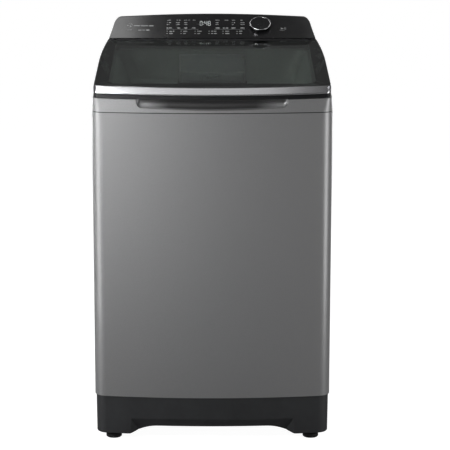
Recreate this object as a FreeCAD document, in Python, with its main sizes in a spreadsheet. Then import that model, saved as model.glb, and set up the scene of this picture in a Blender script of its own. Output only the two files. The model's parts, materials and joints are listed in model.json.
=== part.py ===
import FreeCAD, Part
import Sketcher
import math
import os

# Top load washing machine, in millimetres.
# Origin: centre of the footprint on the floor. +X is to the right of a person facing the
# machine, the front faces -Y and +Z is up.

SIZES = {
    # cabinet and base
    "cabinet_width": 610, "front_reach": 325, "rear_reach": 310, "bow_radius": 1716,
    "bow_half": 270, "corner_radius": 34, "rear_corner": 6, "cabinet_bottom": 121,
    "cabinet_top": 861, "sheet": 1, "rear_flange": 22, "panel_gap": 0.3,
    "base_bottom": 19, "base_inset": 3, "base_taper": 1, "base_wall": 3.5, "base_round": 4,
    "arch_top": 39.5, "arch_flat": 141, "arch_half": 229, "toe_crease": 62, "toe_half": 212,
    "toe_depth": 16, "foot_x": 257.5, "foot_y": 262, "foot_radius": 20.5, "foot_pad": 13,
    "stud_radius": 5, "stud_top": 78, "boss_radius": 15, "boss_top": 62, "fit": 0.05,
    # lid plane: a plane that rises towards the rear
    "lid_slope": 7.8, "lid_front": 318, "lid_front_top": 926, "lid_half": 298.5,
    "lid_bend": 369.8, "lid_bend_radius": 2550, "lid_taper": 5.16, "lid_rear": 509.6,
    "lid_thick": 29, "lid_corner": 14, "trim_drop": 19.5, "trim_lean": 13, "trim_wall": 3,
    "trim_wrap": 18, "glass": 4, "glass_rear": 494, "window_half": 263, "window_front": 46,
    "window_rear": 482, "hinge_drop": 7.74, "barrel": 7.6, "pin_radius": 2.5, "ear_x": 268,
    "ear_thick": 7, "rim_drop": 31, "cover_wall": 3, "cover_gap": 2,
    # well under the lid
    "well_half": 262, "well_front": 266, "well_rear": 186, "well_bottom": 802,
    "throat_half": 214, "throat_rear": 150, "shelf_z": 884, "shelf_half": 228,
    "shelf_rear": 184, "scoop_half": 192, "scoop_apex": 867, "scoop_end": 875,
    "scoop_radius": 2500, "scoop_corner": 16, "scoop_cove": 12, "scoop_depth": 27,
    # console
    "console_slope": 33, "console_front": 198, "console_seam": 996, "console_ref": 196,
    "console_crown": 1058, "console_lift": 11, "console_shoulder": 29, "console_round": 20,
    "console_edge": 10, "console_wall": 3, "fascia": 4,
    "knob_x": 133, "knob_v": 54.7, "knob_radius": 29.3, "knob_height": 11, "knob_ring": 3,
    # dispenser
    "drawer_half": 85, "drawer_front": 193, "drawer_rear": 298, "drawer_floor": 882,
    "drawer_top": 932, "drawer_wall": 2.5, "lip_front": 165, "lip_bottom": 876, "lip_top": 902,
    # tub, basket and drive
    "tub_y": -8, "tub_radius": 283, "tub_floor": 200, "tub_top": 776, "tub_wall": 3,
    "ring_inner": 226, "basket_radius": 262, "basket_floor": 226, "basket_top": 752,
    "basket_wall": 1, "balance_inner": 222, "balance_top": 772, "pulsator_radius": 185,
    "pulsator_z": 258, "pulley_radius": 95, "pulley_z": 84, "pulley_thick": 18,
    "motor_x": 165, "motor_y": 50, "motor_pulley": 22, "rod_x": 258, "rod_y": 258,
    "rod_radius": 5, "rod_head": 13, "rod_top": 848, "rod_cup": 21, "lug_z": 300,
    "spring_bottom": 236, "spring_radius": 16, "spring_wire": 2, "bracket_z": 840,
    "bracket_sheet": 2.5,
    # rear panel and connections
    "panel_half": 290, "rib_left": 230, "rib_right": 130, "rib_high": 26, "rib_low": 300,
    "rib_pitch": 130, "slot_long": 60, "slot_high": 5, "slot_low": 170, "slot_pitch": 14,
    "drain_x": -200, "drain_z": 160, "cord_x": 225, "cord_z": 160, "cold_x": 150,
    "hot_x": 215, "valve_z": 800, "pump_y": 150, "pump_radius": 34, "pump_top": 90,
    "spout_radius": 13.2, "spigot_radius": 12, "gland_bore": 4.2,
}

DOC = FreeCAD.newDocument("TopLoadWasher")
SHEET = DOC.addObject("Spreadsheet::Sheet", "Sheet")
V = FreeCAD.Vector
NODES = []


def fill_sheet():
    for row, (name, value) in enumerate(SIZES.items(), start=1):
        SHEET.set("A%d" % row, name)
        SHEET.set("B%d" % row, str(value))
        SHEET.setAlias("B%d" % row, name)
    DOC.recompute()


def size(alias):
    return float(getattr(SHEET, alias))


# ---------------------------------------------------------------- document helpers

def keep(item, label):
    """Name an object as a finished sub-part."""
    item.Label = label
    NODES.append(item)
    return item


def feature(label, shape, placement=None):
    """A sub-part whose surface neither a sketch nor a primitive describes."""
    item = DOC.addObject("Part::Feature", label)
    item.Shape = shape
    if placement is not None:
        item.Placement = placement
    return keep(item, label)


def new_body(label):
    return keep(DOC.addObject("PartDesign::Body", label), label)


def sketch_on(body, name, role, offset=None):
    sketch = body.newObject("Sketcher::SketchObject", name)
    plane = next(f for f in body.Origin.OriginFeatures if f.Role == role)
    sketch.AttachmentSupport = (plane, [""])
    sketch.MapMode = "FlatFace"
    if offset:
        sketch.setExpression(".AttachmentOffset.Base.z", offset)
    return sketch


def bound(sketch, kind, where, expression):
    """Add a constraint whose value follows a sheet expression."""
    value = sketch.evalExpression(expression)
    value = getattr(value, "Value", value)
    index = sketch.addConstraint(Sketcher.Constraint(kind, *where, value))
    sketch.setExpression("Constraints[%d]" % index, expression)


def polygon(sketch, points):
    """Closed outline; every corner's two distances follow sheet expressions."""
    values = [[sketch.evalExpression(e) for e in point] for point in points]
    corners = [V(getattr(u, "Value", u), getattr(v, "Value", v), 0) for u, v in values]
    first = sketch.GeometryCount
    count = len(corners)
    for index in range(count):
        end = corners[(index + 1) % count]
        sketch.addGeometry(Part.LineSegment(corners[index], end), False)
    for index in range(count):
        line = first + index
        after = first + (index + 1) % count
        sketch.addConstraint(Sketcher.Constraint("Coincident", line, 2, after, 1))
    for index, (u, v) in enumerate(points):
        bound(sketch, "DistanceX", (-1, 1, first + index, 1), u)
        bound(sketch, "DistanceY", (-1, 1, first + index, 1), v)


def circle(sketch, u, v, radius):
    values = [sketch.evalExpression(e) for e in (u, v, radius)]
    x, y, r = [getattr(value, "Value", value) for value in values]
    index = sketch.addGeometry(Part.Circle(V(x, y, 0), V(0, 0, 1), r), False)
    bound(sketch, "DistanceX", (-1, 1, index, 3), u)
    bound(sketch, "DistanceY", (-1, 1, index, 3), v)
    bound(sketch, "Radius", (index,), radius)


def pad(body, sketch, length, back=False):
    item = body.newObject("PartDesign::Pad", sketch.Name + "Pad")
    item.Profile = sketch
    item.setExpression("Length", length)
    item.Reversed = back
    sketch.Visibility = False
    return item


def pocket(body, sketch, length, back=False):
    item = body.newObject("PartDesign::Pocket", sketch.Name + "Pocket")
    item.Profile = sketch
    item.setExpression("Length", length)
    item.Reversed = back
    sketch.Visibility = False
    return item


def turned(label, points, at=("0", "0")):
    """A part turned about a vertical axis, from a half section of (radius, height)."""
    body = new_body(label)
    sketch = sketch_on(body, label + "Section", "XZ_Plane")
    polygon(sketch, points)
    item = body.newObject("PartDesign::Revolution", label + "Turn")
    item.Profile = sketch
    item.ReferenceAxis = (sketch, ["V_Axis"])
    item.Angle = 360
    body.setExpression(".Placement.Base.x", at[0])
    body.setExpression(".Placement.Base.y", at[1])
    DOC.recompute()
    return body


def plate(label, points, low, thick, holes=()):
    """A flat part: a plan outline padded upwards, with round holes."""
    body = new_body(label)
    sketch = sketch_on(body, label + "Plan", "XY_Plane", low)
    polygon(sketch, points)
    for hole in holes:
        circle(sketch, *hole)
    pad(body, sketch, thick)
    DOC.recompute()
    return body


def block(name, corner, lengths):
    """Part::Box from sheet expressions for its low corner and its lengths."""
    item = DOC.addObject("Part::Box", name)
    for axis, expression in zip("xyz", corner):
        item.setExpression(".Placement.Base." + axis, expression)
    for key, expression in zip(("Length", "Width", "Height"), lengths):
        item.setExpression(key, expression)
    return item


def rod(name, radius, height, base, direction=V(0, 0, 1)):
    """Part::Cylinder from sheet expressions, pointing along a direction."""
    item = DOC.addObject("Part::Cylinder", name)
    item.Placement = FreeCAD.Placement(V(), FreeCAD.Rotation(V(0, 0, 1), direction))
    for axis, expression in zip("xyz", base):
        item.setExpression(".Placement.Base." + axis, expression)
    item.setExpression("Radius", radius)
    item.setExpression("Height", height)
    return item


def minus(label, base, tool):
    item = DOC.addObject("Part::Cut", label)
    item.Base = base
    item.Tool = tool
    return keep(item, label)


def fused(name, items):
    item = DOC.addObject("Part::MultiFuse", name)
    item.Shapes = items
    return item


def group(label, items):
    """Several identical pieces in one node, as separate solids."""
    item = DOC.addObject("Part::Compound", label)
    item.Links = items
    return keep(item, label)


# ---------------------------------------------------------------- outlines and solids

def outline(points):
    """Closed wire through (x, y, radius) corners, each corner rounded by an arc."""
    count = len(points)
    edges = []
    marks = []
    for index, (x, y, radius) in enumerate(points):
        here = V(x, y, 0)
        before = V(*points[index - 1][:2], 0) - here
        after = V(*points[(index + 1) % count][:2], 0) - here
        before.normalize()
        after.normalize()
        half = before.getAngle(after) / 2
        if half > math.radians(89.99):
            marks.append((here + before * radius, None, here + after * radius))
            continue
        start = here + before * (radius / math.tan(half))
        end = here + after * (radius / math.tan(half))
        middle = (before + after).normalize()
        marks.append((start, here + middle * (radius / math.sin(half) - radius), end))
    for index, (start, middle, end) in enumerate(marks):
        bend = Part.Arc(start, middle, end).toShape() if middle else Part.makeLine(start, end)
        edges.append(bend)
        edges.append(Part.makeLine(end, marks[(index + 1) % count][0]))
    return Part.Wire(edges)


def solid_between(low, high):
    return Part.makeLoft([low, high], True, True)


def raised(wire, height):
    copy = wire.copy()
    copy.translate(V(0, 0, height))
    return copy


def cabinet_outline(inset):
    """Plan of the cabinet: bowed front, rounded corners, straight sides and rear."""
    half = size("cabinet_width") / 2 - inset
    front = size("front_reach") - inset
    rear = size("rear_reach") - inset
    bow = size("bow_radius") - inset
    slope = math.asin(size("bow_half") / size("bow_radius"))
    apex = front + bow * (1 / math.cos(slope) - 1)
    shoulder = apex - half * math.tan(slope)
    corner = size("corner_radius") - inset
    middle_y = size("lid_bend") - size("lid_front")
    bend = size("lid_bend_radius") * math.tan(math.radians(size("lid_taper") / 2))
    rear_round = size("rear_corner") - inset * 0.3
    return outline([
        (-half, -shoulder, corner), (0, -apex, bow), (half, -shoulder, corner),
        (half, middle_y, bend), (half, rear, rear_round), (-half, rear, rear_round),
        (-half, middle_y, bend)])


def lid_outline(inset, lean, rear):
    """Outline in the lid plane: bowed front, sides that curve in towards the rear."""
    half = size("lid_half") - inset
    bow = size("bow_radius") - inset
    slope = math.asin(size("bow_half") / size("bow_radius"))
    apex = inset - lean - bow * (1 / math.cos(slope) - 1)
    shoulder = apex + half * math.tan(slope)
    corner = max(size("lid_corner") - inset, 5)
    bend = size("lid_bend")
    rear_half = half - (rear - bend) * math.tan(math.radians(size("lid_taper")))
    return outline([
        (-half, shoulder, corner), (0, apex, bow), (half, shoulder, corner),
        (half, bend, size("lid_bend_radius")), (rear_half, rear, 3), (-rear_half, rear, 3),
        (-half, bend, size("lid_bend_radius"))])


def lid_placement(drop=0):
    """From the lid plane's own frame to the machine's; drop is measured square to it."""
    turn = FreeCAD.Rotation(V(1, 0, 0), size("lid_slope"))
    origin = V(0, -size("lid_front"), size("lid_front_top"))
    return FreeCAD.Placement(origin + turn.multVec(V(0, 0, -drop)), turn)


def lid_point(x, v, w):
    return lid_placement().multVec(V(x, v, w))


def on_lid(shape, drop=0):
    copy = shape.copy()
    copy.Placement = lid_placement(drop).multiply(copy.Placement)
    return copy


def console_placement(drop=0):
    turn = FreeCAD.Rotation(V(1, 0, 0), size("console_slope"))
    origin = V(0, size("console_ref"), size("console_seam"))
    return FreeCAD.Placement(origin + turn.multVec(V(0, 0, -drop)), turn)


def on_console(shape, drop=0):
    copy = shape.copy()
    copy.Placement = console_placement(drop).multiply(copy.Placement)
    return copy


def slab(x_half, y_low, y_high, z_low, z_high):
    return Part.makeBox(2 * x_half, y_high - y_low, z_high - z_low, V(-x_half, y_low, z_low))


def upright(wire):
    """Turn a plan wire so that its Y becomes Z, for outlines seen from the front."""
    copy = wire.copy()
    copy.rotate(V(), V(1, 0, 0), 90)
    return copy


# ---------------------------------------------------------------- cabinet and base

def build_cabinet():
    sheet = size("sheet")
    low, high = size("cabinet_bottom"), size("cabinet_top")
    outside = solid_between(raised(cabinet_outline(0), low), raised(cabinet_outline(0), high))
    inside = solid_between(raised(cabinet_outline(sheet), low - 1),
                           raised(cabinet_outline(sheet), high + 1))
    opening_half = size("cabinet_width") / 2 - size("rear_flange")
    opening = slab(opening_half, 200, 400, low - 1, high + 1)
    feature("cabinet_shell", outside.cut(inside).cut(opening))


def build_rear_panel():
    """Back panel on the cabinet's flanges, with pressed ribs and a louvred lower field."""
    body = new_body("rear_panel")
    base = sketch_on(body, "RearPanelFace", "XZ_Plane", "-(Sheet.rear_reach + Sheet.panel_gap)")
    low, high = "Sheet.cabinet_bottom + 4", "Sheet.cabinet_top - 3"
    polygon(base, [("-Sheet.panel_half", low), ("Sheet.panel_half", low),
                   ("Sheet.panel_half", high), ("-Sheet.panel_half", high)])
    pad(body, base, "Sheet.sheet", back=True)
    ribs = sketch_on(body, "RearPanelRibs", "XZ_Plane", "-(Sheet.rear_reach + 1.4)")
    for row in range(4):
        low = "Sheet.rib_low + %d * Sheet.rib_pitch" % row
        high = low + " + Sheet.rib_high"
        polygon(ribs, [("-Sheet.rib_left", low), ("Sheet.rib_right", low),
                       ("Sheet.rib_right", high), ("-Sheet.rib_left", high)])
    pad(body, ribs, "3", back=True)
    DOC.recompute()
    before = body.Shape.Volume
    slots = sketch_on(body, "RearPanelLouvres", "XZ_Plane", "-(Sheet.rear_reach - 2)")
    for column in (-60, 20, 100):
        left, right = str(column), "%d + Sheet.slot_long" % column
        for row in range(7):
            low = "Sheet.slot_low + %d * Sheet.slot_pitch" % row
            high = low + " + Sheet.slot_high"
            polygon(slots, [(left, low), (right, low), (right, high), (left, high)])
    for x, z, radius in (("drain_x", "drain_z", "13"), ("cord_x", "cord_z", "9.5"),
                         ("cold_x", "valve_z", "13.6"), ("hot_x", "valve_z", "13.6")):
        circle(slots, "Sheet." + x, "Sheet." + z, radius)
    pocket(body, slots, "8")
    DOC.recompute()
    if body.Shape.Volume > before - 1000:
        body.Tip.Reversed = True
        DOC.recompute()


def base_section(inset, height):
    return raised(cabinet_outline(size("base_inset") + inset), height)


def toe_cutter(grow):
    """Scoop along the bottom of the plinth's front: a crisp crease, then a face leaning in."""
    reach = size("front_reach") - size("base_inset")
    bow = size("bow_radius")

    def section(height, x_half, depth):
        knee_x = x_half - depth * 1.4
        knee_y = -reach + knee_x ** 2 / (2 * bow) + depth
        far_y = -reach - 40
        knees = [V(-knee_x, knee_y, height), V(knee_x, knee_y, height)]
        far = [V(x_half + 40, far_y, height), V(-x_half - 40, far_y, height)]
        return Part.Wire([
            Part.Arc(knees[0], V(0, -reach + depth, height), knees[1]).toShape(),
            Part.makeLine(knees[1], far[0]), Part.makeLine(far[0], far[1]),
            Part.makeLine(far[1], knees[0])])

    top = section(size("toe_crease") + grow, size("toe_half") + grow, 0.8 + grow)
    bottom = section(size("base_bottom") - 2, size("toe_half") + 18 + grow,
                     size("toe_depth") * 1.9 + grow)
    return solid_between(bottom, top)


def arch_cutter():
    """Low arch between the feet: a flat run with an S curve down to the floor line."""
    flat, end = size("arch_flat"), size("arch_half")
    top, low = size("arch_top"), size("base_bottom")
    rise, run = (top - low) / 2, (end - flat) / 2
    radius = (run ** 2 + rise ** 2) / (2 * rise)
    turn = math.asin(run / radius)
    sag = radius * (1 - math.cos(turn / 2))
    offset = radius * math.sin(turn / 2)
    edges = []
    for side in (1, -1):
        knee = V(side * (flat + run), 0, low + rise)
        upper = Part.Arc(V(side * flat, 0, top), V(side * (flat + offset), 0, top - sag), knee)
        lower = Part.Arc(knee, V(side * (end - offset), 0, low + sag), V(side * end, 0, low))
        edges += [upper.toShape(), lower.toShape()]
        edges.append(Part.makeLine(V(side * end, 0, low), V(side * end, 0, low - 5)))
    edges.append(Part.makeLine(V(-flat, 0, top), V(flat, 0, top)))
    edges.append(Part.makeLine(V(-end, 0, low - 5), V(end, 0, low - 5)))
    wire = Part.Wire(Part.__sortEdges__(edges))
    face = Part.Face(wire)
    face.translate(V(0, -400, 0))
    return face.extrude(V(0, 800, 0))


def foot_places():
    return [("front_left", -1, -1), ("front_right", 1, -1),
            ("rear_left", -1, 1), ("rear_right", 1, 1)]


def build_base():
    """Moulded plinth: drafted wall, side floors with foot bosses, toe scoop and arch."""
    low, high, wall = size("base_bottom"), size("cabinet_bottom") - 0.3, size("base_wall")
    radius = size("base_round")
    sections = []
    for turn in (90, 65, 40, 20, 0):
        angle = math.radians(turn)
        inset = size("base_taper") + radius * (1 - math.cos(angle))
        sections.append(base_section(inset, low + radius * (1 - math.sin(angle))))
    sections.append(base_section(0, high))
    outside = Part.makeLoft(sections, True, True)
    inside = solid_between(base_section(size("base_taper") + wall, low + wall),
                           base_section(wall, high + 1))
    inside = inside.cut(toe_cutter(wall))
    shape = outside.cut(inside).cut(toe_cutter(0)).cut(arch_cutter())
    boss_low = low + wall - 0.5
    for _, side_x, side_y in foot_places():
        centre = V(side_x * size("foot_x"), side_y * size("foot_y"), boss_low)
        boss = Part.makeCylinder(size("boss_radius"), size("boss_top") - boss_low, centre)
        bore = Part.makeCylinder(size("stud_radius") + size("fit"), 200,
                                 V(centre.x, centre.y, 0))
        shape = shape.fuse(boss).cut(bore)
    feature("base_plinth", shape.removeSplitter())


def build_feet():
    for name, side_x, side_y in foot_places():
        turned("foot_" + name, [
            ("0", "0"), ("Sheet.foot_radius - 2", "0"), ("Sheet.foot_radius", "2"),
            ("Sheet.foot_radius", "Sheet.foot_pad - 3"), ("14", "Sheet.foot_pad"),
            ("12", "Sheet.base_bottom - 0.4"), ("Sheet.stud_radius", "Sheet.base_bottom - 0.4"),
            ("Sheet.stud_radius", "Sheet.stud_top"), ("0", "Sheet.stud_top")],
            ("%d * Sheet.foot_x" % side_x, "%d * Sheet.foot_y" % side_y))


# ---------------------------------------------------------------- cover and console

def cover_rim(inset, drop):
    rear = (size("rear_reach") + size("lid_front")) / math.cos(math.radians(size("lid_slope")))
    wire = lid_outline(inset - 3, 6.5, rear - inset - 4)
    return on_lid(wire, drop)


def well_solid(grow, low):
    """Funnel from the lid's opening to a shelf line, then on to the mouth of the tub."""
    cosine = math.cos(math.radians(size("lid_slope")))
    half = size("well_half") + grow
    front = (size("lid_front") - size("well_front")) / cosine - grow
    rear = (size("lid_front") + size("well_rear")) / cosine + grow
    top = on_lid(outline([(-half, front, 48 + grow), (half, front, 48 + grow),
                          (half, rear, 30 + grow), (-half, rear, 30 + grow)]),
                 size("rim_drop") - 6)
    sections = [top]
    for level, half, rear, corner in (
            (size("shelf_z"), size("shelf_half"), size("shelf_rear"), 34),
            (low, size("throat_half"), size("throat_rear"), 110)):
        half += grow
        front = half - size("tub_y")
        rear += grow
        sections.append(raised(outline([
            (-half, -front, 150 + grow), (half, -front, 150 + grow),
            (half, rear, corner + grow), (-half, rear, corner + grow)]), level))
    return Part.makeLoft(sections, True, True)


def scoop_solid(grow):
    """Finger scoop under the lid's front edge, with rounded ends and a rounded back."""
    half = size("scoop_half") + grow
    end, apex = size("scoop_end") - grow, size("scoop_apex") - grow
    back = -size("front_reach") + size("scoop_depth") + grow
    corner = size("scoop_corner") + grow
    wire = upright(outline([
        (-half, end, corner), (0, apex, size("scoop_radius")), (half, end, corner),
        (half, 960, 4), (-half, 960, 4)]))
    face = Part.Face(wire)
    face.translate(V(0, -360, 0))
    scoop = face.extrude(V(0, 360 + back, 0))
    lip = [e for e in scoop.Edges
           if e.BoundBox.YMin > back - 0.1 and e.BoundBox.ZMax < 940]
    return scoop.makeFillet(size("scoop_cove"), lip)


def build_top_cover():
    wall = size("cover_wall")
    low = size("cabinet_top") + size("cover_gap")
    drop = size("rim_drop")
    outside = solid_between(raised(cabinet_outline(0), low), cover_rim(0, drop))
    hollow = solid_between(raised(cabinet_outline(wall), low - 1), cover_rim(wall, drop + wall))
    well = well_solid(wall, size("well_bottom"))
    above = on_lid(slab(400, -100, 900, 0, 100), drop)
    well = well.cut(above)
    shape = outside.cut(hollow.cut(scoop_solid(wall)))
    lip = solid_between(raised(cabinet_outline(wall), low - 12),
                        raised(cabinet_outline(wall), low + 4))
    lip = lip.cut(solid_between(raised(cabinet_outline(wall + 2.5), low - 13),
                                raised(cabinet_outline(wall + 2.5), low + 5)))
    shape = shape.fuse([well, lip])
    shape = shape.cut([well_solid(0, size("well_bottom") - 1), scoop_solid(0)])
    mouth_half = size("drawer_half") + 10.5
    mouth = slab(mouth_half, 120, 200, size("lip_bottom") - 6, size("drawer_top") + 19)
    behind = on_lid(slab(250, size("lid_rear") + 15, 615, -20, 20), drop)
    feature("top_cover", shape.cut([mouth, behind]))


def console_section(station, inset):
    """Cross-section of the console across the machine, at one distance from the front."""
    along = (station + size("lid_front")) / math.cos(math.radians(size("lid_slope")))
    rim_half = size("lid_half") - inset
    rim_half -= (along - size("lid_bend")) * math.tan(math.radians(size("lid_taper")))
    rim_z = lid_point(0, along, -size("rim_drop")).z + 0.3
    seam_z = rim_z + size("rim_drop")
    crown = size("console_crown") - inset
    top_half = size("lid_half") - size("console_shoulder") - inset
    shoulder_z = crown - size("console_lift")
    round_to = size("console_round") - inset
    wire = upright(outline([
        (-rim_half - 2.5, rim_z, 0.5), (-rim_half, seam_z, 60), (-top_half, shoulder_z, round_to),
        (0, crown + 1, 4000), (top_half, shoulder_z, round_to), (rim_half, seam_z, 60),
        (rim_half + 2.5, rim_z, 0.5)]))
    wire.translate(V(0, station, 0))
    return wire


def console_block(inset):
    """Console volume, its rear edges rounded in steps round a quarter circle."""
    front = size("console_front") + inset
    rear = size("rear_reach") - inset
    radius = size("console_edge")
    sections = [console_section(front, inset)]
    for turn in (0, 30, 55, 75, 90):
        angle = math.radians(turn)
        station = rear - radius * (1 - math.sin(angle))
        sections.append(console_section(station, inset + radius * (1 - math.cos(angle))))
    return Part.makeLoft(sections, True, True)


def slope_slab(low, high):
    return on_console(slab(400, -200, 400, low, high))


def build_console():
    wall = size("console_wall")
    fascia = size("fascia")
    outside = console_block(0)
    inside = console_block(wall)
    panel = outside.common(slope_slab(-fascia, 0))
    housing = outside.cut(slope_slab(-fascia - 0.2, 200)).cut(
        inside.cut(slope_slab(-fascia - 0.2 - wall, 200)))
    floor_cut = on_lid(slab(400, 0, 900, -30, 2.8), size("rim_drop"))
    housing = housing.cut(floor_cut.common(inside))
    shaft = on_console(Part.makeCylinder(4.5, 40, V(size("knob_x"), size("knob_v"), -20)))
    display = on_console(slab(34, 52, 82, -30, -fascia - 0.1))
    feature("console_housing", housing.cut([shaft, display]))
    feature("console_fascia", panel.cut(shaft))


def build_control_board():
    board = slab(92, 22, 84, -14.6, -13)
    parts = [board]
    for x, y in ((-70, 34), (-20, 66), (30, 34), (72, 66)):
        parts.append(Part.makeBox(18, 12, 6, V(x, y, -20.6)))
    feature("control_board", on_console(parts[0].fuse(parts[1:])))
    encoder = Part.makeCylinder(9, 14, V(size("knob_x"), size("knob_v"), -22))
    bore = Part.makeCylinder(3 + size("fit"), 20, V(size("knob_x"), size("knob_v"), -18))
    feature("knob_encoder", on_console(encoder.cut(bore)))


def build_knob():
    """Round knob: an undercut grip, a flat face, and a bright ring on a flange round it."""
    radius, height, ring_high = size("knob_radius"), size("knob_height"), size("knob_ring")
    place = console_placement()
    centre = V(size("knob_x"), size("knob_v"), 0)
    flange_z = height - ring_high - 1
    grip = Part.makeCone(radius - 5, radius - 3.4, flange_z, centre + V(0, 0, 0.5))
    flange = Part.makeCylinder(radius - 0.8, 1, centre + V(0, 0, flange_z))
    face = Part.makeCylinder(radius - 2.4, ring_high + 0.6, centre + V(0, 0, flange_z))
    shaft = Part.makeCylinder(3, 17.5, centre + V(0, 0, -17))
    feature("knob_body", grip.fuse([flange, face, shaft]), place)
    ring = Part.makeCylinder(radius, ring_high, centre + V(0, 0, height - ring_high))
    ring = ring.cut(Part.makeCylinder(radius - 2.2, height, centre))
    rims = [e for e in ring.Edges if e.BoundBox.ZMin > height - 0.1]
    feature("knob_ring", ring.makeFillet(0.8, rims), place)


# ---------------------------------------------------------------- lid

def lid_slice(inset, lean, low, lean_low, high):
    """Solid between two outlines of the lid; the front leans out by lean_low at the bottom."""
    rear = size("lid_rear")
    bottom = raised(lid_outline(inset, lean_low, rear), low)
    return solid_between(bottom, raised(lid_outline(inset, lean, rear), high))


def lid_trim_solid():
    wall, lean, drop = size("trim_wall"), size("trim_lean"), size("trim_drop")
    outer = lid_slice(0, 0, -drop, lean, 0)
    inner = lid_slice(wall, 0, -drop - 1, lean * (drop + 1) / drop, 1)
    keep_box = slab(400, -100, size("trim_wrap"), -drop - 5, 5)
    return outer.cut(inner).common(keep_box)


def build_lid():
    thick, glass = size("lid_thick"), size("glass")
    trim = lid_trim_solid()
    body = lid_slice(0, 0, -thick, size("trim_lean") - 3, 0)
    glass_pocket = raised(lid_outline(3.2, 0, size("glass_rear")), -glass)
    pocket_solid = solid_between(glass_pocket, raised(glass_pocket, glass + 1))
    skirt = raised(lid_outline(13, 0, size("glass_rear")), -thick - 1)
    hollow = solid_between(skirt, raised(skirt, thick - 9))
    window = outline([(-size("window_half"), size("window_front"), 30),
                      (size("window_half"), size("window_front"), 30),
                      (size("window_half"), size("window_rear"), 22),
                      (-size("window_half"), size("window_rear"), 22)])
    opening = solid_between(raised(window, -thick), raised(window, 0))
    under_rear = slab(400, size("glass_rear") - 6, 700, -60, -2 * size("barrel") - 0.4)
    shape = body.cut([trim, pocket_solid, hollow, opening, under_rear])
    hinge_x = size("ear_x")
    barrel = Part.makeCylinder(size("barrel"), 2 * 281, V(-281, size("lid_rear"),
                               -size("hinge_drop")), V(1, 0, 0))
    shape = shape.fuse(barrel)
    cuts = []
    for side in (-1, 1):
        notch = Part.makeBox(size("ear_thick") + 1.6, 40, 60,
                             V(side * hinge_x - size("ear_thick") / 2 - 0.8,
                               size("lid_rear") - 8, -55))
        cuts.append(notch)
        cuts.append(Part.makeCylinder(size("pin_radius"), 28, V(side * hinge_x - 14,
                    size("lid_rear"), -size("hinge_drop")), V(1, 0, 0)))
    feature("lid_frame", shape.cut(cuts), lid_placement())
    feature("lid_front_trim", trim, lid_placement())
    glass_wire = raised(lid_outline(3.5, 0, size("glass_rear") - 0.3), -glass)
    feature("lid_glass", solid_between(glass_wire, raised(glass_wire, glass - 0.3)),
            lid_placement())


def build_hinges():
    pins, ears = [], []
    for side in (-1, 1):
        x = side * size("ear_x")
        axis = V(1, 0, 0)
        centre = V(0, size("lid_rear"), -size("hinge_drop"))
        pins.append(Part.makeCylinder(size("pin_radius"), 28, centre + V(x - 14, 0, 0), axis))
        half = size("ear_thick") / 2
        eye = Part.makeCylinder(5, 2 * half, centre + V(x - half, 0, 0), axis)
        stem = Part.makeBox(2 * half, 10, 24, centre + V(x - half, -5, -24))
        foot = Part.makeBox(24, 13, 1.5, V(x - 12, size("lid_rear") - 7, -size("rim_drop")))
        bore = Part.makeCylinder(size("pin_radius") + size("fit"), 40,
                                 centre + V(x - 20, 0, 0), axis)
        stem = stem.common(slab(400, 0, 900, -size("rim_drop"), 5))
        ears.append(eye.fuse([stem, foot]).cut(bore))
    feature("lid_hinge_pins", Part.makeCompound(pins), lid_placement())
    feature("lid_hinge_brackets", Part.makeCompound(ears), lid_placement())


def build_lid_buffers():
    pads = []
    for x, v in ((-282, 60), (282, 60), (-282, 330), (282, 330)):
        pads.append(Part.makeCylinder(7, 1.6, V(x, v, -size("rim_drop"))))
    feature("lid_buffers", Part.makeCompound(pads), lid_placement())
    case = Part.makeBox(14, 90, 42, V(-292, 120, -size("rim_drop") - 46))
    feature("lid_lock", case, lid_placement())


# ---------------------------------------------------------------- dispenser

def build_dispenser():
    """Detergent drawer in the rear wall of the well, and the case it slides in."""
    half, wall = size("drawer_half"), size("drawer_wall")
    front, rear = size("drawer_front"), size("drawer_rear")
    floor, top = size("drawer_floor"), size("drawer_top")
    tray = slab(half, front, rear, floor, top)
    tray = tray.cut(slab(half - wall, front + wall, rear - wall, floor + wall, top + 10))
    divider = Part.makeBox(wall, rear - front - 2, top - floor - 10, V(22, front + 1, floor + 1))
    face = slab(half + 3, front - wall, front, size("lip_bottom"), top + 8)
    lip = slab(half + 3, size("lip_front"), front - wall + 0.1, size("lip_bottom"),
               size("lip_top"))
    lip = lip.makeFillet(6, [e for e in lip.Edges if e.BoundBox.YMax < size("lip_front") + 0.1])
    grip = Part.makeBox(2 * half - 30, 18, 12, V(-half + 15, size("lip_front") + 6,
                        size("lip_top") - 12))
    feature("dispenser_drawer", tray.fuse([divider, face, lip]).cut(grip))
    case = slab(half + 7, front - 3, size("rear_reach") - 5, size("lip_bottom") - 5,
                size("drawer_top") + 18)
    room = slab(half + 4.2, front - 10, size("rear_reach") - 8, size("lip_bottom") - 2,
                size("drawer_top") + 14)
    nozzle = slab(70, front + 10, rear - 6, size("drawer_top") + 15, size("drawer_top") + 17)
    feature("dispenser_case", case.cut([room, nozzle]))


# ---------------------------------------------------------------- tub and basket

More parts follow.
